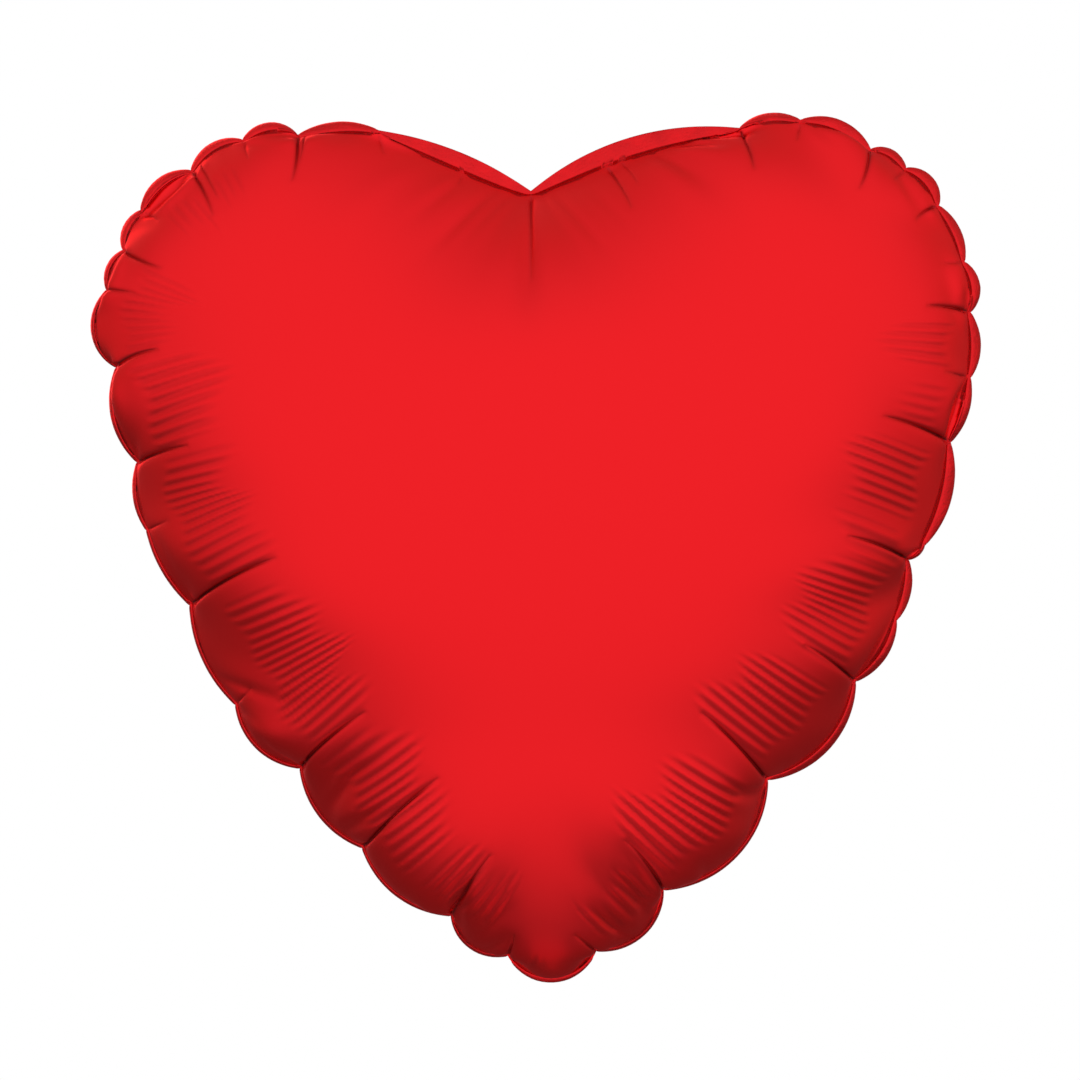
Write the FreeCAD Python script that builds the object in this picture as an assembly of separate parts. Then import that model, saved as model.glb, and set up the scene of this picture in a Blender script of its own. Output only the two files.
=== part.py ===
"""Heart-shaped foil balloon, 18 inch (457 mm) flat size, modelled inflated. Millimetres.

The seam lies in the plane y = 0, the front faces -Y and +Z is up. The origin is at the neck: the lowest
point of the seam, where the ribbon is tied. Two film panels bulge away from the seam, each with a flat
scalloped margin that is heat-sealed to the other. A self-sealing valve of two thin films hangs up into
the balloon from the neck, and the inflation tail is folded up behind the tip.
"""
import FreeCAD
import Part

import math
import os

from FreeCAD import Vector

# Driving dimensions
PANEL_DEPTH = 82.0            # from the seam to the crown of each panel
FILM = 0.5                    # wall of the panels and of each sealed margin, thicker than the real film
SEAM_WIDTH = 7.0              # sealed margin at the middle of a scallop
NOTCH_INSET = 3.0             # sealed margin at a notch, where it is gathered
CROWN_CENTRE = (-4.0, 222.0)  # x, z of the crown
CROWN_REACH = 150.0           # the sections turn round towards the crown, at this mean reach
CROWN_SHARE = 0.985           # of PANEL_DEPTH, where the small flat crown begins
RINGS = 10                    # sections between the seam and the crown
SWELL_FADE = 8                # power by which the scallops' swelling dies out towards the crown
SMOOTHING = 4                 # rim points either side that the body's smooth outline averages
ARC_STEP = 24.0               # longest stretch of a scallop between two rim points
EDGE_EXPONENT = 0.5           # an elliptical section across the body
TIP_EXPONENT_GAIN = 0.6       # the panels flatten towards the pointed tip
TIP_SPREAD = 0.45             # radians either side of straight down

TAIL_WIDTH = 30.0
TAIL_ROOT_WIDTH = 20.0        # gathered at the crease
TAIL_SHOULDER = 6.0           # length over which the tail widens
TAIL_LENGTH = 62.0
TAIL_PLY = 0.4
TAIL_CORNER = 7.0
TAIL_ROOT_GAP = 0.9           # from the crease to the start of the plies
CREASE = Vector(2.0, 2.8, 3.0)   # the line along X about which the tail folds
TAIL_LEAN = 33.0              # degrees from upright when the tail lies folded behind the tip
INFLATION_HOLE_RADIUS = 4.0
INFLATION_HOLE_FROM_END = 14.0

VALVE_FILM = 0.15
VALVE_GAP = 0.1               # between the two valve films when they lie shut
VALVE_WIDTH = 18.0
VALVE_LENGTH = 150.0
VALVE_CORNER = 3.0
VALVE_START = 0.5             # height of the front film's lower end, at the crease
VALVE_FLAP_START = 17.0       # height of the line where the rear film parts from the front one
NECK_SLOT = 0.5               # gap left between the sealed margins for the valve
NECK_SLOT_START = -1.0        # just below the sealed margins
NECK_SLOT_HEIGHT = 28.0       # up past the sealed margins
NECK_SLOT_SIDE = 0.5          # gap at each side of the valve
INLET_END_GAP = 4.0           # from the tail's free end to the inlet film inside it

# Each scallop of the sealed margin starts at a notch and swells outward to the next one: x, z, swell.
SCALLOPS = [
    (-7, 337, 10), (82, 364, 5), (108, 367.5, 6.5), (138, 355, 4.5), (153, 347, 6), (167, 331, 4.6),
    (178, 307, 5.5), (180.5, 285.5, 4.7), (180.5, 257.5, 3.6), (172, 230, 6.5), (161, 186, 1.5),
    (154, 180, 4), (149, 154, 5), (131.5, 128, 11), (94, 86, 13), (49.5, 39, 9), (21, 13, 12),
    (-17, 11, 7), (-41, 28, 7.5), (-79, 57, 6.5), (-105.5, 91, 7), (-133, 118, 5), (-152.5, 160.5, 3),
    (-171, 192.5, 4), (-175, 221.5, 6.7), (-184, 262, 9), (-188, 295, 4), (-181, 312, 4.5),
    (-173.5, 329, 6), (-152, 346, 6), (-130, 359, 6.5), (-106.5, 361, 5), (-72, 363, 4.5),
]


def scallop_arc(start, end):
    """The arc of one scallop's outer edge."""
    (x1, z1, swell), (x2, z2, _) = start, end
    chord = Vector(x2 - x1, 0, z2 - z1)
    outward = Vector(-chord.z, 0, chord.x).normalize()
    middle = Vector((x1 + x2) / 2, 0, (z1 + z2) / 2) + outward * swell
    return Part.Arc(Vector(x1, 0, z1), middle, Vector(x2, 0, z2))


def scallop_arcs():
    return [scallop_arc(start, end) for start, end in zip(SCALLOPS, SCALLOPS[1:] + SCALLOPS[:1])]


def weld_line():
    """Points where the panels part and begin to bulge, inside the scalloped edge, from the cleft round by +X."""
    crown = Vector(CROWN_CENTRE[0], 0, CROWN_CENTRE[1])
    points = []
    for arc in scallop_arcs():
        steps = max(2, math.ceil(arc.length() / ARC_STEP))
        for k in range(steps):
            spot = arc.value(arc.FirstParameter + (arc.LastParameter - arc.FirstParameter) * k / steps)
            inset = NOTCH_INSET if k == 0 else SEAM_WIDTH
            points.append(spot + (crown - spot).normalize() * inset)
    return points


def smoothed(values):
    """A running mean round the closed rim."""
    count = len(values)
    window = range(-SMOOTHING, SMOOTHING + 1)
    return [sum(values[(i + k) % count] for k in window) / len(window) for i in range(count)]


def edge_exponent(away):
    """How the depth falls off towards the weld line in this direction from the crown."""
    turn = math.atan2(away.x, -away.z)    # 0 straight down
    return EDGE_EXPONENT + TIP_EXPONENT_GAIN * math.exp(-(turn / TIP_SPREAD) ** 2)


def rings(inset):
    """The closed sections of the front panel from the seam to the crown, inset from the outer face of the film."""
    crown = Vector(CROWN_CENTRE[0], 0, CROWN_CENTRE[1])
    aways = [point - crown for point in weld_line()]
    reaches = [away.Length - inset for away in aways]
    means = smoothed(reaches)
    knots = [0.0]
    for a, b in zip(aways, aways[1:] + aways[:1]):
        knots.append(knots[-1] + (b - a).Length)
    sections = []
    for k in range(RINGS + 1):
        height = math.sin(math.asin(CROWN_SHARE) * k / RINGS)
        points = []
        for away, reach, mean in zip(aways, reaches, means):
            share = math.sqrt(1 - height ** (1 / edge_exponent(away)))
            body = mean + (reach - mean) * share ** SWELL_FADE
            radius = share * (CROWN_REACH + (body - CROWN_REACH) * share)
            spot = crown + away / away.Length * radius
            points.append(Vector(spot.x, -(PANEL_DEPTH - inset) * height, spot.z))
        curve = Part.BSplineCurve()
        curve.interpolate(Points=points + points[:1], Parameters=knots)
        sections.append(Part.Wire([curve.toShape()]))
    return sections


def dome(inset):
    """The solid bulge of the front panel, inset from its outer face."""
    return Part.makeLoft(rings(inset), True, False)


def hollow():
    """The gas space inside the front panel, carried on past the seam plane so that it cuts a clean opening."""
    sections = rings(FILM)
    below = sections[0].translated(Vector(0, FILM, 0))
    return Part.makeLoft(sections, True, False).fuse(Part.Face(below).extrude(Vector(0, -FILM, 0)))


def sealed_margin():
    """A flat plate out to the scalloped edge, closed across the middle."""
    edge = Part.Face(Part.Wire([arc.toShape() for arc in scallop_arcs()]))
    return edge.extrude(Vector(0, -FILM, 0))


def neck_slot():
    """The passage that the valve films take between the two sealed margins."""
    width = VALVE_WIDTH + 2 * NECK_SLOT_SIDE
    corner = Vector(CREASE.x - width / 2, -NECK_SLOT / 2, NECK_SLOT_START)
    return Part.makeBox(width, NECK_SLOT, NECK_SLOT_HEIGHT, corner)


def front_panel():
    """A thin shell that bulges towards -Y, with its sealed margin."""
    return dome(0).fuse(sealed_margin()).cut(hollow()).cut(neck_slot())


def back_panel(front):
    """The mirror image of the front panel in the plane of the seam."""
    return front.mirror(Vector(0, 0, 0), Vector(0, 1, 0))


def strip(root_width, shoulder, width, length, thickness, corner):
    """A flat film strip up from z = 0, centred on x = 0, on y from 0 to its thickness.

    It widens from its root over the shoulder, and its free end is rounded.
    """
    right = [Vector(root_width / 2, 0, 0), Vector(width / 2, 0, shoulder), Vector(width / 2, 0, length)]
    left = [Vector(-point.x, 0, point.z) for point in reversed(right)]
    outline = Part.makePolygon(right + left + right[:1])
    solid = Part.Face(outline).extrude(Vector(0, thickness, 0))
    corners = [edge for edge in solid.Edges
               if all(vertex.Z > length - 0.01 for vertex in edge.Vertexes)
               and abs(edge.Vertexes[0].Y - edge.Vertexes[1].Y) > thickness / 2]
    return solid.makeFillet(corner, corners)


def valve_strip(start):
    """A valve film of even width, from the given height up to the valve's inner end."""
    film = strip(VALVE_WIDTH, 1, VALVE_WIDTH, VALVE_LENGTH - start, VALVE_FILM, VALVE_CORNER)
    film.translate(Vector(CREASE.x, 0, start))
    return film


def valve_front_film():
    """The longer valve film, which runs from the crease through the neck up into the balloon."""
    film = valve_strip(VALVE_START)
    film.translate(Vector(0, -VALVE_GAP / 2 - VALVE_FILM, 0))
    return film


def valve_back_film():
    """The shorter valve film, a flap that parts from the front film to let gas in."""
    film = valve_strip(VALVE_FLAP_START)
    film.translate(Vector(0, VALVE_GAP / 2, 0))
    return film


def laid_back(shape):
    """Moves a tail piece from upright over the crease to where it lies folded behind the tip."""
    shape.rotate(Vector(0, 0, 0), Vector(1, 0, 0), -TAIL_LEAN)
    shape.translate(CREASE)
    return shape


def tail_ply(offset):
    """One ply of the tail, on the +Y side of the given offset from the crease."""
    ply = strip(TAIL_ROOT_WIDTH, TAIL_SHOULDER, TAIL_WIDTH, TAIL_LENGTH, TAIL_PLY, TAIL_CORNER)
    ply.translate(Vector(0, offset, TAIL_ROOT_GAP))
    return ply


def tail_front_ply():
    """Carries on from the front panel, so it faces backwards when folded up. The inflation hole is in it."""
    hole = Part.makeCylinder(
        INFLATION_HOLE_RADIUS, 4 * TAIL_PLY,
        Vector(0, -TAIL_PLY, TAIL_ROOT_GAP + TAIL_LENGTH - INFLATION_HOLE_FROM_END), Vector(0, 1, 0))
    return laid_back(tail_ply(VALVE_FILM).cut(hole))


def tail_back_ply():
    """Carries on from the back panel, so it lies nearest the balloon when folded up."""
    return laid_back(tail_ply(-VALVE_FILM - TAIL_PLY))


def valve_inlet_film():
    """The valve's outer end, between the two plies of the tail behind the inflation hole."""
    film = strip(VALVE_WIDTH, 1, VALVE_WIDTH, TAIL_LENGTH - INLET_END_GAP, VALVE_FILM, VALVE_CORNER)
    film.translate(Vector(0, -VALVE_FILM / 2, TAIL_ROOT_GAP))
    return laid_back(film)


def main():
    os.makedirs("parts", exist_ok=True)
    front = front_panel()
    nodes = {
        "front_panel": front,
        "back_panel": back_panel(front),
        "valve_front_film": valve_front_film(),
        "valve_back_film": valve_back_film(),
        "tail_front_ply": tail_front_ply(),
        "tail_back_ply": tail_back_ply(),
        "valve_inlet_film": valve_inlet_film(),
    }
    for name, shape in nodes.items():
        print(name, shape.isValid(), len(shape.Solids), round(shape.Volume, 1), shape.BoundBox)
        shape.exportStep(f"parts/{name}.step")


main()
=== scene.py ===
"""Looks of the heart-shaped foil balloon.

The film panels are relaxed under gas pressure from their flat pattern, so that the puckers and lobes form
as they do in real film. The creases and fine ripples are then added as shape, and shade in them is also
painted into the foil's colour. Lengths are in millimetres here, and in metres in Blender.
"""

import math

import bpy
import numpy as np
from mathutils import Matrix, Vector
from mathutils.geometry import delaunay_2d_cdt
from mathutils.kdtree import KDTree

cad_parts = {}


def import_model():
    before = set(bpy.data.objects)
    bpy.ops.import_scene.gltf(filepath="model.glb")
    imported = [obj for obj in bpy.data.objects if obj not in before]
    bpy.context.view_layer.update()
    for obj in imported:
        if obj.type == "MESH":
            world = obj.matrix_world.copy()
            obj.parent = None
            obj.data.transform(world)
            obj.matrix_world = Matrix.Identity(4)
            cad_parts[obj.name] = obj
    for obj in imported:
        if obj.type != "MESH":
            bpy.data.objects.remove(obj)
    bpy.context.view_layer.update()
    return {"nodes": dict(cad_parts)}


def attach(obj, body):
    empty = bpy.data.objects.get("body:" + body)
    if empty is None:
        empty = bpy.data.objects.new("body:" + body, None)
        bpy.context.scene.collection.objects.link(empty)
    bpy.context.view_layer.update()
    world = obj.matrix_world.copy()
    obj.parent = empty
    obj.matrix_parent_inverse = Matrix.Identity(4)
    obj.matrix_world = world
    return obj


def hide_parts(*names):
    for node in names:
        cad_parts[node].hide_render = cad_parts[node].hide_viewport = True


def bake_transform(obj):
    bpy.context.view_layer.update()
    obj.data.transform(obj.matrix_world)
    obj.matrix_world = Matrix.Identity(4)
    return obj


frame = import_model()

MM = 0.001

# ---------------------------------------------------------------- outline, as in the CAD

# Each scallop of the sealed margin starts at a notch and swells outward to the next one: x, z, swell and the
# width of the margin at its middle. Where the film bulges over the margin, the width is what stays in sight.
SCALLOPS = [
    (-7, 337, 10, 10.5), (82, 364, 5, 5), (108, 367.5, 6.5, 5.5), (138, 355, 4.5, 4), (153, 347, 6, 5),
    (167, 331, 4.6, 4.5), (178, 307, 5.5, 4.5), (180.5, 285.5, 4.7, 5), (180.5, 257.5, 3.6, 4),
    (172, 230, 6.5, 5.5), (161, 186, 1.5, 1.5), (154, 180, 4, 4), (149, 154, 5, 3.5), (131.5, 128, 11, 3.5),
    (94, 86, 13, 1.6), (49.5, 39, 9, 1.6), (21, 13, 12, 1.8), (-17, 11, 7, 1.6), (-41, 28, 7.5, 1.6),
    (-79, 57, 6.5, 1.6), (-105.5, 91, 7, 1.5), (-133, 118, 5, 1.5), (-152.5, 160.5, 3, 1.6),
    (-171, 192.5, 4, 1.8), (-175, 221.5, 6.7, 2), (-184, 262, 9, 1.6), (-188, 295, 4, 2.2),
    (-181, 312, 4.5, 3.5), (-173.5, 329, 6, 4.5), (-152, 346, 6, 4), (-130, 359, 6.5, 4.5),
    (-106.5, 361, 5, 5.5), (-72, 363, 4.5, 9.5),
]
NOTCH_MARGIN = 1.2          # width of the margin in sight at a notch
SEAL = 6.5                  # whole width of the sealed margin
NECK_SEAL = 2.9             # and at the neck, as far as the tail's fold
NECK_SCALLOP = 16           # number of the scallop at the neck
CROWN = np.array((-4.0, 222.0))     # where the balloon is deepest
BODY_DEPTH = 71.0           # half depth of the ellipses that the flat pattern is worked out from

# The tail, as in the CAD.
CREASE = (2, 2.8, 3)
TAIL_LEAN = math.radians(33)
TAIL_MIDDLE = 2

COUNT = len(SCALLOPS)
NOTCH = np.array([s[:2] for s in SCALLOPS], float)
SWELL = np.array([s[2] for s in SCALLOPS], float)
MARGIN = np.array([s[3] for s in SCALLOPS], float)

rng = np.random.default_rng(11)
WAVE = rng.uniform(1.0, 3.0, COUNT) * np.where(np.arange(COUNT) % 2, 1, -1)   # seam's sway out of its plane
WAVE[0] = WAVE[-1] = 0.5
WAVE[NECK_SCALLOP] = 0.0


def smooth_step(low, high, value):
    """From 0 at low to 1 at high, flat at both ends."""
    t = np.clip((value - low) / (high - low), 0, 1)
    return t * t * (3 - 2 * t)


def edge(u):
    """Points of the outer edge. u is the scallop's number plus the share along its arc."""
    i = np.floor(u).astype(int) % COUNT
    t = u - np.floor(u)
    a, b = NOTCH[i], NOTCH[(i + 1) % COUNT]
    chord = b - a
    length = np.linalg.norm(chord, axis=1)
    along = chord / length[:, None]
    out = np.stack([-along[:, 1], along[:, 0]], 1)
    radius = (length ** 2 / 4 + SWELL[i] ** 2) / (2 * SWELL[i])
    turn = (2 * t - 1) * np.arcsin(np.minimum(1, length / 2 / radius))
    rise = SWELL[i] - radius * (1 - np.cos(turn))
    return (a + b) / 2 + along * (radius * np.sin(turn))[:, None] + out * rise[:, None]


def path_length(points):
    """Length of the line through these points."""
    return np.linalg.norm(np.diff(points, axis=0), axis=1).sum()


ARC = np.array([path_length(edge(i + np.linspace(0, 0.99999, 60))) for i in range(COUNT)])


def inset(u):
    """How far the weld line lies inside the outer edge."""
    i = np.floor(u).astype(int) % COUNT
    t = u - np.floor(u)
    return NOTCH_MARGIN + (MARGIN[i] - NOTCH_MARGIN) * np.sin(math.pi * t) ** 0.7


def weld(u):
    """Points of the line where the two panels part."""
    e = edge(u)
    d = CROWN - e
    return e + d / np.linalg.norm(d, axis=1)[:, None] * inset(u)[:, None]


def wave(u):
    """How far the weld line sways out of the middle plane."""
    i = np.floor(u).astype(int) % COUNT
    return WAVE[i] * np.sin(math.pi * (u - np.floor(u)))


def seam(u):
    """Points of the weld line in space, once for both panels."""
    return np.stack([weld(u)[:, 0], wave(u), weld(u)[:, 1]], 1)[:, None]


# ---------------------------------------------------------------- flat pattern

FINE_U = np.arange(0, COUNT, 1 / 24)
SMOOTHING = 0.10            # radians over which the scallops are evened out


def smooth_reach():
    """Angle about the crown and smooth reach of the weld line, kept sharp at the cleft."""
    d = weld(FINE_U) - CROWN
    reach = np.linalg.norm(d, axis=1)
    angle = np.unwrap(np.arctan2(d[:, 0], d[:, 1]))
    smooth = np.empty_like(reach)
    for k in range(len(reach)):
        to_cleft = min(abs(angle[k] - angle[0]), abs(angle[0] + 2 * math.pi - angle[k]))
        width = min(SMOOTHING, max(0.012, 0.6 * to_cleft))
        weight = np.exp(-((angle - angle[k]) / width) ** 2)
        smooth[k] = (reach * weight).sum() / weight.sum()
    return angle, smooth


ANGLE, REACH = smooth_reach()


def angle_of(d):
    """Angle about the crown, counted on from where the weld line starts."""
    return (np.arctan2(d[:, 0], d[:, 1]) - ANGLE[0]) % (2 * math.pi) + ANGLE[0]


def reach_at(d):
    """Smooth reach of the weld line in the direction of d."""
    return np.interp(angle_of(d), np.append(ANGLE, ANGLE[0] + 2 * math.pi), np.append(REACH, REACH[0]))


def flat_reach(reach):
    """A quarter of the way round the ellipse with half axes reach and BODY_DEPTH."""
    h = ((reach - BODY_DEPTH) / (reach + BODY_DEPTH)) ** 2
    return math.pi / 4 * (reach + BODY_DEPTH) * (1 + 3 * h / (10 + np.sqrt(4 - 3 * h)))


def pattern(u):
    """Points of the flat pattern's rim."""
    d = weld(u) - CROWN
    return CROWN + d * (flat_reach(reach_at(d)) / np.linalg.norm(d, axis=1))[:, None]


def weld_fullness():
    """For each scallop, the angle of its middle and its welded length as a share of its pattern length."""
    share = []
    for i in range(COUNT):
        u = i + np.linspace(0, 0.99999, 40)
        share.append(path_length(weld(u)) / path_length(pattern(u)))
    angle = angle_of(weld(np.arange(COUNT) + 0.5) - CROWN)
    order = np.argsort(angle)
    return angle[order], np.array(share)[order]


FULL_ANGLE, FULL_SHARE = weld_fullness()
TIP_FULLNESS = 0.3          # how much wider the film is towards the tip
TIP_POWER = 7               # added to FULLNESS_POWER towards the tip
FULLNESS_POWER = 5          # how late, on the way out from the crown, the film is gathered


def rest_lengths(flat, e):
    """The film's own length between the two ends of each edge."""
    a, b = flat[e[:, 0]], flat[e[:, 1]]
    mid = (a + b) / 2 - CROWN
    reach = np.maximum(np.linalg.norm(mid, axis=1), 1e-6)
    radial = ((b - a) * mid).sum(1) / reach
    hoop = np.maximum(((b - a) ** 2).sum(1) - radial ** 2, 0)
    share = np.interp(angle_of(mid), FULL_ANGLE, FULL_SHARE, period=2 * math.pi)
    tip = 1 - smooth_step(-10, 120, mid[:, 1] + CROWN[1])
    t = np.clip(reach / flat_reach(reach_at(mid)), 0, 1) ** (FULLNESS_POWER + TIP_POWER * tip)
    return np.sqrt(radial ** 2 + hoop * ((1 + TIP_FULLNESS * tip) * (1 - t) + share * t) ** 2)


# ---------------------------------------------------------------- film mesh

GRID = 9.0                  # mm between vertices of the first mesh


def first_mesh():
    """Even triangles over the flat pattern. The rim's vertices come first."""
    u = []
    for i in range(COUNT):
        n = max(2, round(ARC[i] / GRID))
        u += [i + k / n for k in range(n)]
    u = np.array(u)
    rim = pattern(u)
    low, high = rim.min(0), rim.max(0)
    rows = np.arange(low[1], high[1], GRID * math.sqrt(3) / 2)
    columns = np.arange(low[0], high[0], GRID)
    inner = np.array([(x + (k % 2) * GRID / 2, z) for k, z in enumerate(rows) for x in columns])
    d = inner - CROWN
    inner = inner[np.linalg.norm(d, axis=1) < flat_reach(reach_at(d))]
    fine = pattern(FINE_U)
    gap = np.array([((fine - p) ** 2).sum(1).min() for p in inner])
    inner = inner[gap > (0.6 * GRID) ** 2]
    points = [Vector(p) for p in np.concatenate([rim, inner])]
    ring = [(k, (k + 1) % len(u)) for k in range(len(u))]
    verts, _, faces, *_ = delaunay_2d_cdt(points, ring, [], 1, 1e-6)
    flat = np.array([tuple(v) for v in verts])
    faces = np.array(faces)
    a, b, c = flat[faces[:, 0]], flat[faces[:, 1]], flat[faces[:, 2]]
    back = np.cross(b - a, c - a) < 0
    faces[back] = faces[back][:, ::-1]
    return flat, faces, dict(enumerate(u))


def edges_of(faces, counts=False):
    """Each edge once, lower vertex first."""
    sides = np.sort(np.concatenate([faces[:, [0, 1]], faces[:, [1, 2]], faces[:, [2, 0]]]), axis=1)
    return np.unique(sides, axis=0, return_counts=counts)


def between(ua, ub):
    """The middle of two neighbouring rim parameters."""
    if abs(ua - ub) > COUNT / 2:
        ua, ub = sorted((ua, ub))
        ua += COUNT
    return (ua + ub) / 2 % COUNT


def refined(flat, x, faces, rim, marked):
    """Each marked triangle in four, its neighbours split to fit, and the new rim vertices on the rim."""
    e, uses = edges_of(faces, counts=True)
    split = {tuple(pair) for pair in edges_of(faces[marked]).tolist()}
    keep = np.array([tuple(pair) in split for pair in e.tolist()])
    e, uses = e[keep], uses[keep]
    middle = {tuple(pair): len(flat) + k for k, pair in enumerate(e.tolist())}
    finer = []
    for face in faces.tolist():
        corners = []
        for k in range(3):
            a, b = face[k], face[(k + 1) % 3]
            corners.append((a, middle.get((min(a, b), max(a, b)))))
        whole = [m is not None for _, m in corners]
        turn = 0
        if sum(whole) == 1:
            turn = whole.index(True)
        elif sum(whole) == 2:
            turn = (whole.index(False) + 1) % 3
        (a, ab), (b, bc), (c, ca) = corners[turn:] + corners[:turn]
        if sum(whole) == 0:
            finer.append((a, b, c))
        elif sum(whole) == 1:
            finer += [(a, ab, c), (ab, b, c)]
        elif sum(whole) == 2:
            finer += [(ab, b, bc), (a, ab, c), (ab, bc, c)]
        else:
            finer += [(a, ab, ca), (ab, b, bc), (ca, bc, c), (ab, bc, ca)]
    rim = dict(rim)
    for a, b in e[uses == 1].tolist():
        rim[middle[a, b]] = between(rim[a], rim[b])
    flat = np.concatenate([flat, (flat[e[:, 0]] + flat[e[:, 1]]) / 2])
    x = np.concatenate([x, (x[e[:, 0]] + x[e[:, 1]]) / 2])
    ids = np.array(list(rim))
    u = np.array([rim[k] for k in ids])
    flat[ids] = pattern(u)
    x[ids] = seam(u)
    return flat, x, np.array(finer), rim


def coloured(e, n):
    """Edges in groups that share no vertex."""
    used = [0] * n
    colour = np.empty(len(e), int)
    for k, (a, b) in enumerate(e.tolist()):
        free = ~(used[a] | used[b])
        bit = free & -free
        colour[k] = bit.bit_length() - 1
        used[a] |= bit
        used[b] |= bit
    return [np.nonzero(colour == c)[0] for c in range(colour.max() + 1)]


# ---------------------------------------------------------------- creases and ripples

# The creases that run inward from the notches: x, z of the start, x, z of the end, depth, sideways bow.
CREASES = [
    (-7, 336.5, -7, 294, 0.6, 0), (-106.4, 361, -108.5, 340, 1.0, 1), (-103.5, 360, -105.5, 347, 0.6, 0),
    (-152, 346, -141.5, 325, 0.9, 1), (-147, 347, -139, 332, 0.5, 0), (-181, 312, -163, 303.5, 0.9, -1),
    (-188, 295, -174, 293, 0.5, 0), (-184, 262.5, -164, 269, 1.1, 1.5), (-175, 221.5, -151, 228, 1.1, 1),
    (-171, 192.5, -160, 197, 0.4, 0), (-152.5, 160.5, -113, 181, 1.3, 2), (-133, 118, -124, 127, 0.4, 0),
    (-105.5, 91, -76, 116.5, 1.3, 1.5), (-79, 57, -45, 89, 1.3, 1.5), (-41, 28, -23, 57, 1.1, 1),
    (-17, 11, -14, 22, 0.9, 0), (21, 13, 11, 22, 0.9, 0), (49.5, 39, 32, 63, 1.2, -1),
    (94, 86, 64, 116.5, 1.3, -1.5), (131.5, 128, 108, 144.5, 1.2, -1), (154, 180, 126, 190, 1.3, -1.5),
    (172, 230, 141, 240.5, 1.2, -1.5), (180.5, 257.5, 168, 260, 0.5, 0), (180.5, 285.5, 160, 287.5, 1.1, -1),
    (178, 307, 166, 306, 0.4, 0), (167, 331, 156.5, 324, 0.9, -1), (153, 347, 147, 341, 0.5, 0),
    (138, 355, 132, 337, 1.0, 1), (108, 367.5, 106, 358, 0.5, 0), (82, 364, 87.5, 345, 1.0, 1),
    (25, 348, 36, 328, 0.7, 1), (31, 350, 39, 338, 0.4, 1), (-130, 359, -127, 350, 0.5, 0),
    (-173.5, 329, -165, 324, 0.5, 0), (-72, 361, -69, 352, 0.4, 0), (-36, 345, -38, 339, 0.3, 0),
]
GROOVE_WIDTH = 0.7
GROOVE_DEPTH = 1.7
VALLEY_WIDTH = 7.0           # on the gentle side of the crease
VALLEY_STEEP = 1.8           # and on the steep side
VALLEY_DEPTH = 1.0
# Bands of fine ripples across the rim: first and last scallop, nearest and farthest distance from the weld,
# and height as a share of RIPPLE_HEIGHT.
RIPPLES = [
    (7.05, 7.95, 12, 56, 0.9), (8.1, 8.9, 16, 50, 0.5), (9.05, 9.95, 14, 66, 1.1), (10.05, 11.2, 16, 66, 1.0),
    (11.2, 12.95, 18, 70, 1.1), (13.05, 13.95, 24, 78, 1.3), (14.05, 14.95, 26, 76, 1.5),
    (15.0, 15.9, 18, 54, 1.4), (16.55, 17.0, 10, 28, 0.9), (17.4, 18.5, 22, 62, 1.0),
    (18.5, 20.0, 28, 76, 1.1), (20.05, 21.95, 34, 84, 1.0), (22.05, 23.95, 24, 74, 0.9),
    (24.0, 25.0, 22, 72, 1.1),
    (25.05, 26.9, 18, 56, 0.7), (28.1, 28.9, 18, 50, 0.7), (29.1, 29.8, 14, 42, 0.6),
]
RIPPLE_LENGTH = 5.4          # along the flat pattern's rim
RIPPLE_HEIGHT = 0.155
RIM_EVENING = 90             # rounds of smoothing of the line that the ripples are counted along
OVERHANG = 0.8               # how far the film may bulge past the weld, seen from the front


def crease_depth(xz, groove, valley):
    """How far the film is drawn in at the creases, as a sharp groove in a soft valley."""
    depth = np.zeros(len(xz))
    for ax, az, bx, bz, strength, bow in CREASES:
        start = np.array((ax, az), float)
        d = np.array((bx, bz), float) - start
        length = np.linalg.norm(d)
        d = d / length
        t = (xz - start) @ d / length
        off = (xz - start) @ np.array((-d[1], d[0])) - bow * 4 * t * (1 - t)
        beyond = np.clip(np.maximum(-t, t - 1), 0, None) * length
        fade = np.clip(1 - t, 0, 1) ** 0.6 * np.exp(-(beyond / 3) ** 2)
        sharp = groove * np.exp(-np.abs(off) / GROOVE_WIDTH) * fade
        off = off * (-1 if bow < 0 else 1)
        gentle = VALLEY_WIDTH if bow else VALLEY_STEEP
        soft = valley * np.exp(-np.where(off > 0, off / gentle, -off / VALLEY_STEEP)) * fade ** 1.5
        depth = np.maximum(depth, strength * (sharp + soft))
    return depth


def nearest(points, line):
    """For each point, the nearest segment of a line, the share along it and the distance."""
    start, step = line[:-1], np.diff(line, axis=0)
    length = np.linalg.norm(step, axis=1)
    tree = KDTree(len(start))
    for k, (px, pz) in enumerate(start):
        tree.insert((px, pz, 0), k)
    tree.balance()
    near = np.array([tree.find((px, pz, 0))[1] for px, pz in points])
    gap = np.full(len(points), np.inf)
    segment, share = near.copy(), np.zeros(len(points))
    for k in (near, (near - 1) % len(start)):
        d = points - start[k]
        t = np.clip((d * step[k]).sum(1) / length[k] ** 2, 0, 1)
        distance = np.linalg.norm(d - t[:, None] * step[k], axis=1)
        closer = distance < gap
        segment[closer], share[closer], gap[closer] = k[closer], t[closer], distance[closer]
    return segment, share, gap


def rim_place(flat):
    """For each vertex of the flat pattern: rim parameter, distance to the rim, distance round an even rim."""
    u = np.append(FINE_U, COUNT)
    gap = nearest(flat, pattern(u))[2]
    even = pattern(FINE_U)
    for _ in range(RIM_EVENING):
        even = (np.roll(even, 1, axis=0) + 2 * even + np.roll(even, -1, axis=0)) / 4
    even = np.concatenate([even, even[:1]])
    length = np.linalg.norm(np.diff(even, axis=0), axis=1)
    before = np.concatenate([[0], np.cumsum(length)])
    k, t, _ = nearest(flat, even)
    return u[k] + t * (u[1] - u[0]), gap, before[k] + t * length[k]


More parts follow.
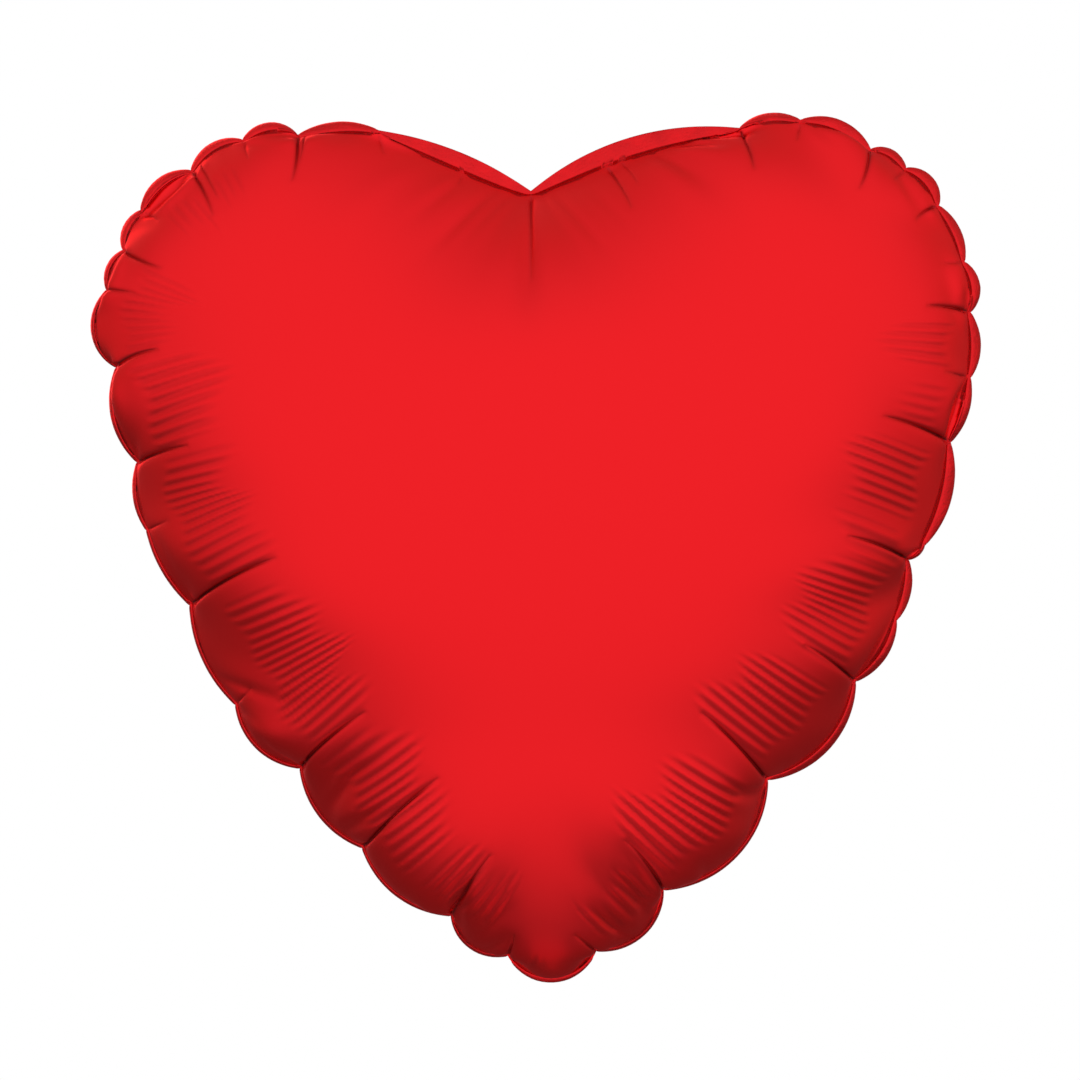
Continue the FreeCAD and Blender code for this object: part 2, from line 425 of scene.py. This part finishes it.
def ripples(u, gap, along, shift):
    """Phase and strength of the fine ripples. along is the distance round the rim in mm."""
    ragged = 6 * np.sin(along / 5.1 + shift) + 5 * np.sin(along / 11.7)
    strength = np.zeros(len(u))
    for first, last, near, far, height in RIPPLES:
        fade = smooth_step(first, first + 0.12, u) * (1 - smooth_step(last - 0.12, last, u))
        fade *= smooth_step(near, near + 8, gap + 0.5 * ragged)
        fade *= 1 - smooth_step(far - 16, far, gap + ragged)
        strength += height * fade
    drift = 1.1 * np.sin(along / 17 + shift) + 0.7 * np.sin(along / 7.3 + 2 * shift)
    return 2 * math.pi * along / RIPPLE_LENGTH + drift, strength


# ---------------------------------------------------------------- relaxation

# One stage for each mesh: steps, push of the gas in mm, how well the film resists being squeezed, smoothing.
STAGES = [(300, 0.01, 0.3, 0.02), (200, 0.004, 0.05, 0.01), (110, 0.0015, 0.05, 0.01)]
SWEEPS = 2                  # rounds of pulling the edges back to their lengths in each step
SWING = 0.9                 # share of the speed that is kept from step to step
TAIL_REST_HALF = 16         # half width of the dent that the folded tail presses in the back film
TAIL_REST_TOP = 58          # height of its upper end
TAIL_REST_GAP = 1.8         # between the back film and the tail's middle
TAIL_REST_SLOPE = 1.5       # of the film up the sides of the dent


def push_of(x, faces):
    """Outward normals of both panels, weighted by area."""
    a, b, c = x[faces[:, 0]], x[faces[:, 1]], x[faces[:, 2]]
    normal = np.cross(b - a, c - a)
    spots = faces.T.ravel()
    out = np.empty_like(x)
    for side in range(2):
        for axis in range(3):
            out[:, side, axis] = np.bincount(spots, np.tile(normal[:, side, axis], 3), len(x))
    out[:, 1] *= -1
    return out


def tail_limit(x):
    """How far back the back panel can come, because the folded tail lies against it there."""
    beside = np.clip(np.abs(x[:, 0] - TAIL_MIDDLE) - TAIL_REST_HALF, 0, None)
    above = np.clip(x[:, 2] - TAIL_REST_TOP, 0, None)
    tail = CREASE[1] + (x[:, 2] - CREASE[2]) * math.tan(TAIL_LEAN)
    return tail - TAIL_REST_GAP + TAIL_REST_SLOPE * beside + TAIL_REST_SLOPE * above


def neighbour_mean(x, e, degree):
    """For each vertex, the mean of the vertices that share an edge with it."""
    a, b = e.T
    mean = np.empty_like(x)
    for side in range(2):
        for axis in range(3):
            value = x[:, side, axis]
            total = np.bincount(a, value[b], len(x)) + np.bincount(b, value[a], len(x))
            mean[:, side, axis] = total / degree
    return mean


def relaxed(x, flat, faces, rim, stage):
    """x holds both panels, vertex by side by axis. The film hardly stretches and the rim is held."""
    steps, push, squeeze, smoothing = stage
    n = len(x)
    held = np.array(sorted(rim))
    place = seam(np.array([rim[k] for k in held]))
    free = np.ones((n, 1, 1))
    free[held] = 0
    e = edges_of(faces)
    rest = rest_lengths(flat, e)
    batches = []
    for group in coloured(e, n):
        i, j = e[group].T
        both = free[i] + free[j]
        keep = both[:, 0, 0] > 0
        i, j, both = i[keep], j[keep], both[keep]
        batches.append((i, j, rest[group][keep][:, None], free[i] / both, free[j] / both))
    degree = np.bincount(e.ravel(), minlength=n)
    last = x.copy()
    for _ in range(steps):
        normal = push_of(x, faces)
        size = np.linalg.norm(normal, axis=2, keepdims=True)
        swing = (x - last) * SWING
        last = x.copy()
        x = x + swing + push * free * normal / size.mean()
        for _ in range(SWEEPS):
            for i, j, length, share_i, share_j in batches:
                d = x[i] - x[j]
                over = 1 - length / np.sqrt((d * d).sum(2))
                over = np.where(over > 0, over, over * squeeze)[:, :, None] * d
                x[i] -= share_i * over
                x[j] += share_j * over
        unit = normal / np.maximum(size, 1e-9)
        rough = neighbour_mean(x, e, degree) - x
        x += smoothing * free * unit * (rough * unit).sum(2, keepdims=True)
        middle = x[:, :, 1].mean(1)
        x[:, 0, 1] = np.minimum(x[:, 0, 1], middle)
        x[:, 1, 1] = np.minimum(np.maximum(x[:, 1, 1], middle), np.maximum(tail_limit(x[:, 1]), 0.3))
        x[held] = place
    return x


def inflated():
    """Flat pattern, both panels' film, faces and rim parameters."""
    flat, faces, rim = first_mesh()
    d = flat - CROWN
    reach = np.linalg.norm(d, axis=1)
    wide = reach_at(d)
    turn = np.clip(reach / flat_reach(wide), 0, 1) * math.pi / 2
    ground = CROWN + d * (wide * np.sin(turn) / np.maximum(reach, 1e-9))[:, None]
    x = np.empty((len(flat), 2, 3))
    x[:, :, 0] = ground[:, :1]
    x[:, :, 2] = ground[:, 1:]
    x[:, 0, 1] = -BODY_DEPTH * np.cos(turn)
    x[:, 1, 1] = -x[:, 0, 1]
    x += rng.normal(0, 0.3, x.shape)
    stages = STAGES
    for k, stage in enumerate(stages):
        if k:
            flat, x, faces, rim = refined(flat, x, faces, rim, np.ones(len(faces), bool))
        x = relaxed(x, flat, faces, rim, stage)
    return flat, x, faces, rim


# ---------------------------------------------------------------- detail


def unit_normals(x, faces):
    """Outward unit normals of both panels."""
    normal = push_of(x, faces)
    return normal / np.maximum(np.linalg.norm(normal, axis=2, keepdims=True), 1e-9)


def evened(x, faces, rim, rounds):
    """Takes out the roughness left between neighbouring vertices."""
    e = edges_of(faces)
    degree = np.bincount(e.ravel(), minlength=len(x))
    free = np.ones((len(x), 1, 1))
    free[np.array(list(rim))] = 0
    for k in range(2 * rounds):
        x = x + (0.5, -0.52)[k % 2] * free * (neighbour_mean(x, e, degree) - x)
    return x


def kept_inside(x):
    """The film bulges past the weld by no more than OVERHANG, seen from the front."""
    rim = weld(FINE_U) - CROWN
    rim = rim[np.argsort(angle_of(rim))]
    angle, rim_reach = angle_of(rim), np.linalg.norm(rim, axis=1)
    d = x[:, :, [0, 2]] - CROWN
    reach = np.linalg.norm(d, axis=2)
    for side in range(2):
        limit = np.interp(angle_of(d[:, side]), angle, rim_reach, period=2 * math.pi)
        scale = np.minimum(1, (limit + OVERHANG) / np.maximum(reach[:, side], 1e-9))[:, None]
        x[:, side, 0:3:2] = CROWN + d[:, side] * scale
    return x


def detailed(flat, x, faces, rim):
    """Finer mesh along the creases and ripples, and those features as real shape."""
    x = kept_inside(evened(x, faces, rim, 6))
    u, gap, _ = rim_place(flat)
    rippled = np.zeros(len(flat), bool)
    for first, last, near, far, _ in RIPPLES:
        rippled |= (u > first) & (u < last) & (gap > near) & (gap < far)
    creased = crease_depth(x[:, 0][:, [0, 2]], 1, 0.3) > 0.10
    flat, x, faces, rim = refined(flat, x, faces, rim, (rippled | creased)[faces].any(1))
    x = evened(x, faces, rim, 2)
    for depth in (0.10, 0.25):
        creased = crease_depth(x[:, 0][:, [0, 2]], 1, 0) > depth
        flat, x, faces, rim = refined(flat, x, faces, rim, creased[faces].any(1))
    u, gap, along = rim_place(flat)
    off_rim = smooth_step(0, 5, gap)
    normal = unit_normals(x, faces)
    for side in range(2):
        phase, strength = ripples(u, gap, along, 1.7 * side)
        lift = RIPPLE_HEIGHT * strength * np.sin(phase)
        lift -= crease_depth(x[:, side][:, [0, 2]], GROOVE_DEPTH, VALLEY_DEPTH) * off_rim
        lift[np.array(list(rim))] = 0
        x[:, side] += normal[:, side] * lift[:, None]
    return flat, kept_inside(x), faces, rim


# ---------------------------------------------------------------- panels

PLY_SHIFT = 0.3             # from the seam to the outer face of each sealed margin
NECK_SHIFT = 0.3            # and more at the neck, where the valve lies between them
FOIL = 0.22                 # thickness of the visible film
MARGIN_ROWS = 5
MARGIN_LEAN = 0.45          # how far the margin leans back, as a share of its width in sight


def new_mesh(name, verts, faces, material):
    """An object from points in mm."""
    mesh = bpy.data.meshes.new(name)
    mesh.from_pydata((np.asarray(verts) * MM).tolist(), [], faces)
    mesh.materials.append(material)
    mesh.polygons.foreach_set("use_smooth", [True] * len(mesh.polygons))
    mesh.update()
    obj = bpy.data.objects.new(name, mesh)
    bpy.context.scene.collection.objects.link(obj)
    return obj


def attribute(obj, name, values):
    """A number on each vertex, for the material."""
    layer = obj.data.attributes.new(name, "FLOAT", "POINT")
    layer.data.foreach_set("value", np.asarray(values, np.float32))


def thicken(obj, thickness, offset):
    """A closed solid from a sheet. offset 1 or -1 is the side on which it grows, 0 is both."""
    modifier = obj.modifiers.new("thickness", "SOLIDIFY")
    modifier.thickness = thickness * MM
    modifier.offset = offset
    mesh = bpy.data.meshes.new_from_object(obj.evaluated_get(bpy.context.evaluated_depsgraph_get()))
    obj.modifiers.clear()
    obj.data = mesh


def margin_rows(u):
    """Rows of the sealed margin's middle surface, outward from the weld, with their front normals.
    Where little of the margin is in sight, it turns back behind the film."""
    i = np.floor(u).astype(int) % COUNT
    t = u - np.floor(u)
    w, e = weld(u), edge(u)
    seen = np.linalg.norm(e - w, axis=1)
    out = (e - w) / seen[:, None]
    whole = np.maximum(seen, SEAL * np.sin(math.pi * t) ** 0.5)
    whole = np.where(i == NECK_SCALLOP, np.maximum(seen, NECK_SEAL * np.sin(math.pi * t) ** 0.5), whole)
    back = np.sqrt(np.maximum(whole ** 2 - seen ** 2, 0))
    lean = np.where(i == NECK_SCALLOP, 0, MARGIN_LEAN * seen)
    rows = []
    for row in range(1, MARGIN_ROWS + 1):
        k = row / MARGIN_ROWS
        flutter = 0.35 * np.sin(5 * math.pi * t + WAVE[i] * 9) + 0.2 * np.sin(11 * math.pi * t + i)
        flutter = np.where(i == NECK_SCALLOP, 0, flutter * k * np.sin(math.pi * t))
        bulge = math.sin(0.5 * math.pi * k)
        spot = w + (e - w) * bulge
        y = wave(u) * (1 + 0.3 * k) + back * (1 - math.cos(0.5 * math.pi * k)) + flutter + lean * bulge
        rise = back * math.sin(0.5 * math.pi * k) + lean * math.cos(0.5 * math.pi * k)
        run = seen * math.cos(0.5 * math.pi * k) + 1e-3 + (0.5 * seen if row == MARGIN_ROWS else 0)
        size = np.hypot(rise, run)
        normal = np.stack([out[:, 0] * rise / size, -run / size, out[:, 1] * rise / size], 1)
        rows.append((np.stack([spot[:, 0], y, spot[:, 1]], 1), normal))
    return rows


def panel(name, side, flat, x, faces, rim, material):
    """One film panel with its sealed margin. side is 0 for the front and 1 for the back."""
    order = sorted(rim, key=rim.get)
    u = np.array([rim[k] for k in order])
    ply = (1, -1)[side]
    place_u, gap, along = rim_place(flat)
    phase, strength = ripples(place_u, gap, along, 1.7 * side)
    film = x[:, side] + (0, -ply * PLY_SHIFT, 0)
    near_neck = np.clip(1 - np.abs(film[:, 0] - TAIL_MIDDLE) / 16, 0, 1)
    near_neck *= np.clip(1 - (film[:, 2] - 3) / 5, 0, 1)
    film[:, 1] -= ply * NECK_SHIFT * np.minimum(1, 2 * near_neck)
    verts, depth, quads = [film], [gap], []
    ring = np.array(order)
    for middle, normal in margin_rows(u):
        beside = np.clip(2 - np.abs(middle[:, 0] - TAIL_MIDDLE) / 8, 0, 1)
        spread = PLY_SHIFT + NECK_SHIFT * beside * (middle[:, 2] < 9)
        outer = sum(len(v) for v in verts) + np.arange(len(u))
        verts.append(middle + ply * spread[:, None] * normal)
        depth.append(np.full(len(u), -SEAL * len(depth) / MARGIN_ROWS))
        quads += np.stack([ring, outer, np.roll(outer, -1), np.roll(ring, -1)], 1).tolist()
        ring = outer
    polygons = faces.tolist() + quads
    if side:
        polygons = [p[::-1] for p in polygons]
    obj = new_mesh(name, np.concatenate(verts), polygons, material)
    # fold is the creases' depth, which the material paints as shade along the creases
    fold = crease_depth(film[:, [0, 2]], 1, 0) * smooth_step(0, 2, gap)
    none = np.zeros(MARGIN_ROWS * len(u))
    attribute(obj, "fold", np.concatenate([fold, none]))
    attribute(obj, "ripple_phase", np.concatenate([phase, none]))
    attribute(obj, "ripple_strength", np.concatenate([strength, none]))
    attribute(obj, "inside_weld", np.concatenate(depth))
    thicken(obj, FOIL, -1)
    return obj


# ---------------------------------------------------------------- tail

NECK_RADIUS = 21.0          # of the lobe that hides the fold
TAIL_ROOT_HALF = 10
TAIL_HALF = 15
TAIL_END = 62.9             # from the crease, along the tail
TAIL_CORNER = 7
HOLE_FROM_CREASE = 48.9
HOLE_RADIUS = 4
# How the middle of the tail runs from inside the turned margin to its straight part: y, z.
FOLD = [
    (0.9, 0.62), (1.5, 0.30), (2.15, 0.34), (2.65, 0.85), (2.87, 1.6), (2.98, 2.4), (3.12, 3.2), (3.29, 3.76),
]
FOLD_END = 0.9              # from the crease, along the tail
PLY_THICKNESS = 0.3
VALVE_HALF = 9
VALVE_COLUMNS = 10          # vertices across the valve's film
VALVE_ROWS = 60             # and along it
VALVE_THICKNESS = 0.06


def fold_path():
    """Evenly spaced points of the rounded fold, and their distances from its start."""
    points = np.array(FOLD)
    last = points[-1] - CREASE[1:]
    raw = np.vstack([points, points[-1] + last / np.linalg.norm(last) * 0.6])
    place = np.linspace(0, len(raw) - 1, 200)
    smooth = np.stack([np.interp(place, range(len(raw)), raw[:, k]) for k in (0, 1)], 1)
    for _ in range(60):
        smooth[1:-1] = (smooth[:-2] + 2 * smooth[1:-1] + smooth[2:]) / 4
    steps = np.linalg.norm(np.diff(smooth, axis=0), axis=1)
    return smooth, np.concatenate([[0], np.cumsum(steps)])


def tail_outline(root):
    """Closed outline of one ply, half width by distance along the tail's path."""
    end = root + TAIL_END - FOLD_END
    right = [(TAIL_ROOT_HALF, k) for k in np.arange(0, root + 3, 0.8)]
    right += [(TAIL_ROOT_HALF + (TAIL_HALF - TAIL_ROOT_HALF) * smooth_step(0, 1, k), root + 3 + 6 * k)
              for k in np.linspace(0, 1, 8)[:-1]]
    right += [(TAIL_HALF, k) for k in np.arange(root + 9, end - TAIL_CORNER, 1.5)]
    right += [(TAIL_HALF - TAIL_CORNER * (1 - math.cos(a)), end - TAIL_CORNER * (1 - math.sin(a)))
              for a in np.linspace(0, math.pi / 2, 9)]
    return right + [(-p, q) for p, q in reversed(right)]


def half_widths(outline):
    """Half width against distance along the tail."""
    right = outline[outline[:, 0] > 0]
    right = right[np.argsort(right[:, 1])]
    return right[:, 1], right[:, 0]


def film_rise(p, after):
    """The plies part a little between the side seals."""
    across = np.clip(1 - (np.abs(p) / 11) ** 2, 0, 1)
    along = smooth_step(6, 22, after) * (1 - 0.6 * smooth_step(40, 62, after))
    return across * along * (0.35 + 0.12 * np.sin(after / 3.1) * np.sin(p / 2.7 + after / 9))


def tail_ply(name, offset, hole, material):
    """One ply of the tail, from inside the turned margin round the fold and up behind.
    offset is its distance from the middle of the tail, hole is whether it has the inflation hole."""
    path, run = fold_path()
    root = run[-1]
    outline = np.array(tail_outline(root))
    end = outline[:, 1].max() - 0.6
    rows = np.concatenate([np.arange(0.3, root + 1, 0.3), np.arange(root + 1, end, 1.2)])
    inner = [(p, q) for q in rows for p in np.arange(-14.4, 14.5, 1.2)]
    centre = np.array((0, root - FOLD_END + HOLE_FROM_CREASE))
    loops = [list(range(len(outline)))]
    points = outline.tolist()
    if hole:
        turns = np.linspace(0, 2 * math.pi, 40, endpoint=False)
        loops.append(list(range(len(points), len(points) + len(turns))))
        points += [(HOLE_RADIUS * math.cos(a), centre[1] + HOLE_RADIUS * math.sin(a)) for a in turns]
        inner = [p for p in inner if math.dist(p, centre) > HOLE_RADIUS + 0.5]
    half = np.interp([q for _, q in inner], *half_widths(outline))
    points += [p for p, limit in zip(inner, half) if abs(p[0]) < limit - 0.5]
    verts, _, faces, *_ = delaunay_2d_cdt([Vector(p) for p in points], [], loops, 1, 1e-5)
    flat = np.array([tuple(v) for v in verts])
    if hole:
        faces = [f for f in faces if math.dist(flat[list(f)].mean(0), centre) > HOLE_RADIUS * 0.97]
    p, q = flat.T
    after = np.clip(q - root, 0, None)
    heading = np.gradient(path, run, axis=0)
    heading /= np.linalg.norm(heading, axis=1)[:, None]
    ahead = np.stack([np.interp(q, run, heading[:, k]) for k in (0, 1)], 1)
    ahead[q > root] = math.sin(TAIL_LEAN), math.cos(TAIL_LEAN)
    middle = np.stack([np.interp(q, run, path[:, k]) for k in (0, 1)], 1) + ahead * after[:, None]
    side = offset + film_rise(p, after) * np.sign(offset)
    y = middle[:, 0] + side * ahead[:, 1]
    z = middle[:, 1] - side * ahead[:, 0]
    sag = NECK_RADIUS - np.sqrt(NECK_RADIUS ** 2 - np.minimum(np.abs(p), TAIL_ROOT_HALF) ** 2)
    z += sag * (1 - smooth_step(0, 6, after))
    obj = new_mesh(name, np.stack([p + TAIL_MIDDLE, y, z], 1), [list(f) for f in faces], material)
    thicken(obj, PLY_THICKNESS, 0)
    return obj


def valve_film(name, low, high, place):
    """A strip of the valve's film. place gives its points from the distances across and along it."""
    columns = np.linspace(-VALVE_HALF, VALVE_HALF, VALVE_COLUMNS)
    across, along = np.meshgrid(columns, np.linspace(low, high, VALVE_ROWS))
    verts = np.stack(place(across, along), 2).reshape(-1, 3)
    corner = (np.arange(VALVE_ROWS - 1)[:, None] * VALVE_COLUMNS + np.arange(VALVE_COLUMNS - 1)).ravel()
    above = corner + VALVE_COLUMNS
    quads = np.stack([corner, corner + 1, above + 1, above], 1).tolist()
    obj = new_mesh(name, verts, quads, CLEAR)
    thicken(obj, VALVE_THICKNESS, 0)
    return obj


def in_neck(across, up):
    """From inside the neck up into the balloon."""
    return across + TAIL_MIDDLE, 0.02 * np.sin(up / 6 + across / 5) - 0.17, up


def in_tail(across, along):
    """Between the plies of the tail."""
    y = CREASE[1] + along * math.sin(TAIL_LEAN) + 0.02 * np.sin(along / 6 + across / 5)
    return across + TAIL_MIDDLE, y, CREASE[2] + along * math.cos(TAIL_LEAN)


# ---------------------------------------------------------------- materials


def new_material(name):
    """A new material, with its nodes and links."""
    material = bpy.data.materials.new(name)
    material.use_nodes = True
    return material, material.node_tree.nodes, material.node_tree.links


def node(nodes, kind, **settings):
    """A shader node of this kind."""
    made = nodes.new("ShaderNode" + kind)
    for key, value in settings.items():
        setattr(made, key, value)
    return made


def maths(nodes, links, operation, *values):
    """The result of a math node. Each value is a number or a socket."""
    made = node(nodes, "Math", operation=operation)
    for k, value in enumerate(values):
        if isinstance(value, (int, float)):
            made.inputs[k].default_value = value
        else:
            links.new(value, made.inputs[k])
    return made.outputs[0]


def noise(nodes, links, scale, detail):
    """Noise over the object, with features of about 1 / scale metres."""
    made = node(nodes, "TexNoise")
    made.inputs["Scale"].default_value = scale
    made.inputs["Detail"].default_value = detail
    links.new(node(nodes, "TexCoord").outputs["Object"], made.inputs["Vector"])
    return made.outputs["Fac"]


def bumped(nodes, links, shader, height, distance):
    """Puts a bump of this height, times distance in metres, on the shader."""
    bump = node(nodes, "Bump")
    bump.inputs["Strength"].default_value = 1.0
    bump.inputs["Distance"].default_value = distance
    links.new(height, bump.inputs["Height"])
    links.new(bump.outputs["Normal"], shader.inputs["Normal"])


FOIL_RED = (0.90, 0.005, 0.010, 1)
# dark red of the painted shade in the creases, the ripples' valleys and the margin's crinkles
PAINTED_SHADE_RED = (0.16, 0.004, 0.006, 1)
EDGE_RED = (1.0, 0.03, 0.04, 1)
CLEAR_WHITE = (0.80, 0.82, 0.83, 1)
RIPPLE_SHADE = 0.16         # painted shade: how far the ripples' valleys are darkened towards the dark red
CRINKLE_SHADE = 0.4         # and how far the painted shade goes in step with the margin's crinkles
RIPPLE_BUMP = 0.10          # mm
GRAIN_BUMP = 0.25
CRINKLE_BUMP = 1.0


def red_foil():
    """Satin red foil, with the fine ripples by the seam and the crinkles and grain of the heat seal. Its
    colour is painted darker along the creases, in the ripples' valleys and with the crinkles, as painted
    shade.
    """
    material, nodes, links = new_material("red_foil")
    shader = nodes["Principled BSDF"]
    shader.inputs["Metallic"].default_value = 1.0
    shader.inputs["Roughness"].default_value = 0.32
    shader.inputs["Coat Weight"].default_value = 0.3
    shader.inputs["Coat Roughness"].default_value = 0.5
    shader.inputs["Specular Tint"].default_value = EDGE_RED
    phase = node(nodes, "Attribute", attribute_name="ripple_phase").outputs["Fac"]
    strength = node(nodes, "Attribute", attribute_name="ripple_strength").outputs["Fac"]
    inside = node(nodes, "Attribute", attribute_name="inside_weld").outputs["Fac"]
    fold = node(nodes, "Attribute", attribute_name="fold").outputs["Fac"]
    sealed = node(nodes, "MapRange")
    sealed.inputs["From Min"].default_value = 0.2
    sealed.inputs["From Max"].default_value = -0.6
    links.new(inside, sealed.inputs["Value"])
    sealed = sealed.outputs["Result"]
    ripple = maths(nodes, links, "SINE", phase)
    grain = maths(nodes, links, "MULTIPLY", noise(nodes, links, 900, 2), sealed)
    crinkle = maths(nodes, links, "MULTIPLY", noise(nodes, links, 130, 3), sealed)

    # painted shade in the ripples' valleys, on top of their bump
    valley = maths(nodes, links, "MULTIPLY", maths(nodes, links, "MULTIPLY_ADD", ripple, -0.5, 0.5), strength)
    # painted shade along the creases, from the fold attribute
    shade = maths(nodes, links, "MULTIPLY_ADD", valley, RIPPLE_SHADE, fold)
    # painted shade in step with the crinkles' bump on the margin
    shade = maths(nodes, links, "MULTIPLY_ADD", crinkle, CRINKLE_SHADE, shade)
    # ramp from the foil's own red to the dark red of the painted shade
    colour = node(nodes, "ValToRGB")
    colour.color_ramp.elements[0].color = FOIL_RED
    colour.color_ramp.elements[1].color = PAINTED_SHADE_RED
    colour.color_ramp.elements[0].position = 0.02
    links.new(shade, colour.inputs["Fac"])
    links.new(colour.outputs["Color"], shader.inputs["Base Color"])

    wavelet = maths(nodes, links, "MULTIPLY", ripple, strength)
    height = maths(nodes, links, "MULTIPLY", wavelet, RIPPLE_BUMP)
    height = maths(nodes, links, "MULTIPLY_ADD", grain, GRAIN_BUMP, height)
    height = maths(nodes, links, "MULTIPLY_ADD", crinkle, CRINKLE_BUMP, height)
    bumped(nodes, links, shader, height, MM)
    return material


def clear_film():
    """Thin milky polyethylene."""
    material, nodes, links = new_material("clear_film")
    shader = nodes["Principled BSDF"]
    shader.inputs["Base Color"].default_value = CLEAR_WHITE
    shader.inputs["Roughness"].default_value = 0.28
    shader.inputs["IOR"].default_value = 1.5
    shader.inputs["Transmission Weight"].default_value = 0.5
    bumped(nodes, links, shader, noise(nodes, links, 350, 2), 0.05 * MM)
    return material


RED = red_foil()
CLEAR = clear_film()

film = detailed(*inflated())
for side, name in enumerate(("front_panel", "back_panel")):
    skin = panel(name + "_film", side, *film, RED)
    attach(skin, "balloon")
    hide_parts(name)

for name, offset, hole in (("tail_front_ply", 0.355, True), ("tail_back_ply", -0.35, False)):
    ply = tail_ply(name + "_film", offset, hole, RED)
    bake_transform(ply)
    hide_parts(name)

for name, body, low, high, place in (("valve_front_film", "balloon", 4, 150, in_neck),
                                     ("valve_inlet_film", "inflation_tail", 5, 58, in_tail)):
    strip = valve_film(name + "_soft", low, high, place)
    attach(strip, body)
    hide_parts(name)
for name, piece in frame["nodes"].items():
    if name.startswith("valve"):
        piece.data.materials.clear()
        piece.data.materials.append(CLEAR)

# ---------------------------------------------------------------- camera, light and floor

VIEW_CENTRE = (-0.0031, 0.0, 0.1883)
VIEW_WIDTH = 0.461
CAMERA_DISTANCE = 3.0
SENSOR = 36.0
BACKGROUND = 1.0
LIGHT = 0.96                # of the bright wall in front
GROUND_FADE = (-0.85, 0.02)     # the span over which the light fades downward
GROUND_TILT = -0.5          # added to a direction's height for each unit that it points back
GROUND_LIGHT = 0.36         # below that span, as a share of LIGHT
REAR_FADE = (-0.7, 0.8)     # the span over which the light fades backward
REAR_TILT = -0.1            # added to how far back a direction points for each unit to the right
REAR_LIGHT = 0.52           # behind that span, as a share of LIGHT
BACK_LIGHT = (-1.3, 3.0, 1.5)
BACK_LIGHT_SIZE = 3.0
BACK_LIGHT_POWER = 35
FLOOR_HEIGHT = -2.7         # the balloon floats well above it
FLOOR_RADIUS = 0.9
FLOOR_GREY = (0.6, 0.6, 0.6, 1)


def camera():
    """Level and square to the front."""
    data = bpy.data.cameras.new("camera")
    data.sensor_width = SENSOR
    data.lens = SENSOR * CAMERA_DISTANCE / VIEW_WIDTH
    obj = bpy.data.objects.new("camera", data)
    bpy.context.scene.collection.objects.link(obj)
    obj.location = (VIEW_CENTRE[0], -CAMERA_DISTANCE, VIEW_CENTRE[2])
    obj.rotation_euler = (math.pi / 2, 0, 0)
    bpy.context.scene.camera = obj


def area_light(name, place, size, power):
    """A square lamp that faces the object."""
    data = bpy.data.lights.new(name, "AREA")
    data.size = size
    data.energy = power
    obj = bpy.data.objects.new(name, data)
    bpy.context.scene.collection.objects.link(obj)
    obj.location = place
    aim = Vector(VIEW_CENTRE) - Vector(place)
    obj.rotation_euler = aim.to_track_quat("-Z", "Y").to_euler()


def world():
    """White behind the object, which is lit by a wide bright wall in front. The light fades towards the
    ground, and is dimmer behind, most of all on the left."""
    scene_world = bpy.data.worlds.new("studio")
    bpy.context.scene.world = scene_world
    scene_world.use_nodes = True
    nodes, links = scene_world.node_tree.nodes, scene_world.node_tree.links
    backdrop = nodes["Background"]
    backdrop.inputs["Color"].default_value = (1, 1, 1, 1)
    split = node(nodes, "SeparateXYZ")
    links.new(node(nodes, "TexCoord").outputs["Generated"], split.inputs[0])
    upward = maths(nodes, links, "MULTIPLY_ADD", split.outputs["Y"], GROUND_TILT, split.outputs["Z"])
    lower = faded(nodes, links, upward, GROUND_FADE, (GROUND_LIGHT, 1))
    behind = maths(nodes, links, "MULTIPLY_ADD", split.outputs["X"], REAR_TILT, split.outputs["Y"])
    rear = faded(nodes, links, behind, REAR_FADE, (1, REAR_LIGHT))
    light = maths(nodes, links, "MULTIPLY", maths(nodes, links, "MULTIPLY", lower, rear), LIGHT)
    seen = node(nodes, "MapRange")
    links.new(node(nodes, "LightPath").outputs["Is Camera Ray"], seen.inputs["Value"])
    links.new(light, seen.inputs["To Min"])
    seen.inputs["To Max"].default_value = BACKGROUND
    links.new(seen.outputs["Result"], backdrop.inputs["Strength"])


def faded(nodes, links, value, span, light):
    """A smooth step between two strengths of light over a span of a direction's coordinate."""
    step = node(nodes, "MapRange", interpolation_type="SMOOTHSTEP")
    step.inputs["From Min"].default_value, step.inputs["From Max"].default_value = span
    step.inputs["To Min"].default_value, step.inputs["To Max"].default_value = light
    links.new(value, step.inputs["Value"])
    return step.outputs["Result"]


def floor():
    """A pale round floor."""
    angles = np.linspace(0, 2 * math.pi, 96, endpoint=False)
    ring = [(FLOOR_RADIUS * math.cos(a), FLOOR_RADIUS * math.sin(a), FLOOR_HEIGHT) for a in angles]
    mesh = bpy.data.meshes.new("floor")
    mesh.from_pydata(ring, [], [list(range(len(ring)))])
    material, nodes, links = new_material("floor")
    nodes["Principled BSDF"].inputs["Base Color"].default_value = FLOOR_GREY
    nodes["Principled BSDF"].inputs["Roughness"].default_value = 0.9
    mesh.materials.append(material)
    obj = bpy.data.objects.new("floor", mesh)
    bpy.context.scene.collection.objects.link(obj)


camera()
area_light("back", BACK_LIGHT, BACK_LIGHT_SIZE, BACK_LIGHT_POWER)
world()
floor()
bpy.context.scene.view_settings.view_transform = "Standard"
